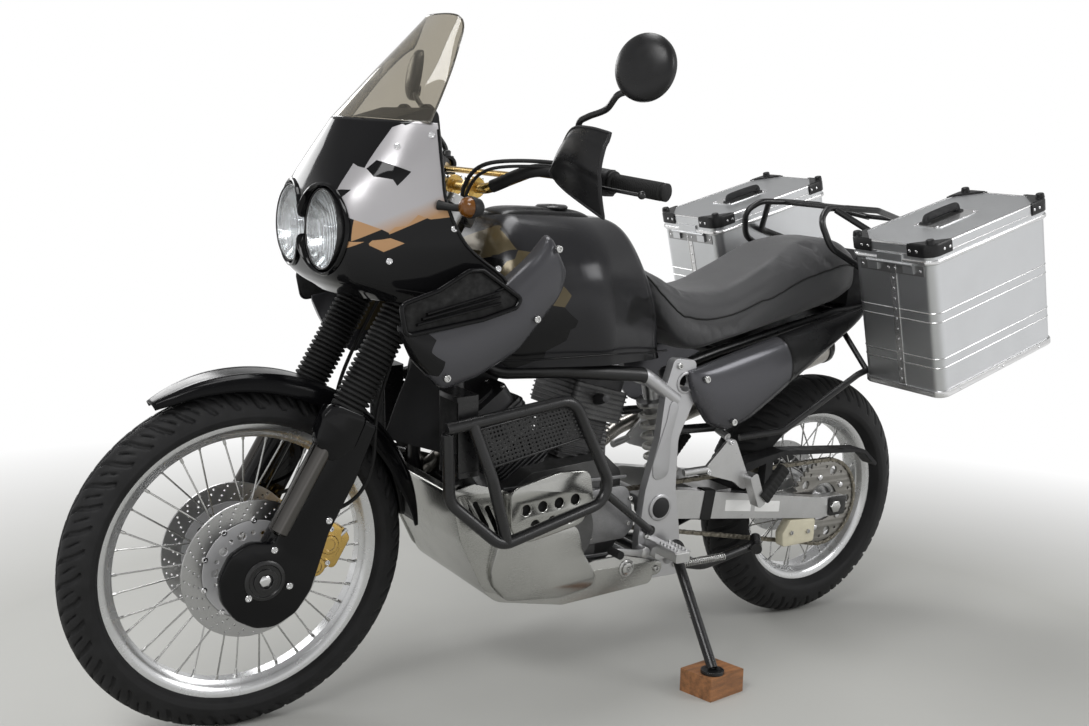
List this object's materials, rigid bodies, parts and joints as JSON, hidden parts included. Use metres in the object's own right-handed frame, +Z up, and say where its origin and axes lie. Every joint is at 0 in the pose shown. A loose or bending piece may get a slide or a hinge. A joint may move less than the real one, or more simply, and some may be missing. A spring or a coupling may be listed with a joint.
{
  "type": "adventure motorcycle",
  "caption": "Tall touring motorcycle with spoked wheels, half fairing, hand guards, crash bars and aluminium side cases, leaning on its side stand.",
  "frame": {"origin": "middle of the footprint on the ground, as it stands leaned on its side stand", "axes": "+X forward, +Y to the rider's left, +Z up"},
  "size_m": [2.312, 1.0388, 1.4455],
  "materials": {
    "frame_silver": "satin paint",
    "black_metal": "satin paint",
    "gloss_black": "gloss paint",
    "engine_metal": "cast and painted",
    "sheet_aluminium": "brushed",
    "cast_aluminium": "satin",
    "tank_grey": "gloss metallic paint",
    "panel_grey": "gloss metallic paint",
    "cover_grey": "gloss metallic paint",
    "fairing_black": "gloss, with light patches",
    "black_plastic": "grained",
    "lamp_glass": "clear, fluted",
    "smoked_screen": "smoked",
    "amber_lens": "clear amber",
    "seat_vinyl": "grained vinyl",
    "black_rubber": "matt",
    "gold_metal": "anodised",
    "rim_silver": "polished",
    "tyre_rubber": "matt",
    "disc_steel": "ground",
    "chain_steel": "oiled",
    "exhaust_steel": "brushed",
    "spring_paint": "satin paint",
    "brown_wood": "oiled"
  },
  "bodies": {
    "frame": {"main_frame": "frame_silver", "subframe": "black_metal", "engine": "engine_metal", "radiators": "black_metal", "skid_plate": "sheet_aluminium", "crash_bars": "black_metal", "fuel_tank": "tank_grey", "tank_cap": "black_plastic", "fairing": "fairing_black", "headlights": "lamp_glass", "windscreen": "smoked_screen", "instrument_panel": "black_plastic", "side_panels": "panel_grey", "seat": "seat_vinyl", "side_covers": "cover_grey", "tail": "black_plastic", "lamps": "amber_lens", "luggage_rack": "black_metal", "pannier_left": "sheet_aluminium", "pannier_right": "sheet_aluminium", "swingarm": "cast_aluminium", "chain": "chain_steel", "chain_guard": "black_plastic", "shock_absorber": "spring_paint", "exhaust": "exhaust_steel", "foot_pegs": "cast_aluminium", "rear_caliper": "gold_metal", "stand_block": "brown_wood"},
    "steering": {"fork": "cast_aluminium", "fork_gaiters": "black_rubber", "fork_legs": "gloss_black", "front_mudguard": "gloss_black", "handlebar": "gold_metal", "hand_controls": "black_rubber", "hand_guards": "black_plastic", "mirrors": "black_plastic", "front_calipers": "gold_metal", "brake_hoses": "black_rubber"},
    "front_wheel": {"front_wheel": "rim_silver", "front_tyre": "tyre_rubber", "front_discs": "disc_steel"},
    "rear_wheel": {"rear_wheel": "rim_silver", "rear_tyre": "tyre_rubber", "rear_disc": "disc_steel", "rear_sprocket": "disc_steel"},
    "side_stand": {"side_stand": "black_metal"},
    "centre_stand": {"centre_stand": "black_metal"},
    "lid_left": {"lid_left": "sheet_aluminium"},
    "lid_right": {"lid_right": "sheet_aluminium"}
  },
  "joints": [
    {"name": "steer", "type": "hinge", "parent": "frame", "child": "steering", "pos_m": [0.41357, -0.02618, 0.95107], "axis": [-0.4695, 0.0693, 0.8802], "range_deg": [-42, 42]},
    {"name": "front_wheel_spin", "type": "hinge", "parent": "steering", "child": "front_wheel", "pos_m": [0.8076, -0.07372, 0.34706], "axis": [0, 0.9969, -0.0785], "continuous": true},
    {"name": "rear_wheel_spin", "type": "hinge", "parent": "frame", "child": "rear_wheel", "pos_m": [-0.7574, -0.07526, 0.32742], "axis": [0, 0.9969, -0.0785], "continuous": true},
    {"name": "side_stand_fold", "type": "hinge", "parent": "frame", "child": "side_stand", "pos_m": [-0.1734, 0.10083, 0.28347], "axis": [0.1409, 0.7659, 0.6273], "range_deg": [0, 93.7]},
    {"name": "centre_stand_lower", "type": "hinge", "parent": "frame", "child": "centre_stand", "pos_m": [-0.1994, -0.08217, 0.23969], "axis": [0, -0.9969, 0.0785], "range_deg": [0, 95]},
    {"name": "lid_left_open", "type": "hinge", "parent": "frame", "child": "lid_left", "pos_m": [-0.5828, 0.33471, 0.96736], "axis": [0, 0.9969, -0.0785], "range_deg": [0, 110]},
    {"name": "lid_right_open", "type": "hinge", "parent": "frame", "child": "lid_right", "pos_m": [-0.5828, -0.38008, 1.02361], "axis": [0, 0.9969, -0.0785], "range_deg": [0, 110]}
  ]
}
